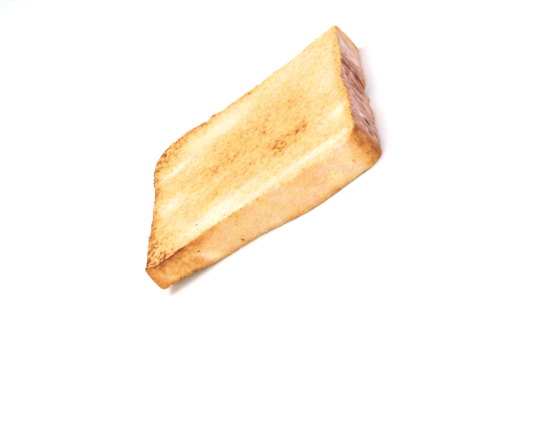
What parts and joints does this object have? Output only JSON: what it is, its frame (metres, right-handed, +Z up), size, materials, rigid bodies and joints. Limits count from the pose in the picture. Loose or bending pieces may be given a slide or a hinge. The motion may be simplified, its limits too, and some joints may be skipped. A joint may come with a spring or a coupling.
{
  "type": "slice of toast",
  "caption": "Slice of toasted white tin-loaf bread lying flat, with golden toasted faces, a creased dark crown crust and pale side crusts.",
  "frame": {"origin": "middle of the slice's box, on the surface that it lies on", "axes": "+X from the foot of the loaf to its crown, +Y across the loaf, +Z up through the slice, out of the shown toasted face"},
  "size_m": [0.105, 0.1228, 0.0155],
  "materials": {
    "toasted_bread": "matte toasted crumb with a browned crust"
  },
  "bodies": {
    "root": {"toast_slice": "toasted_bread"}
  },
  "joints": []
}
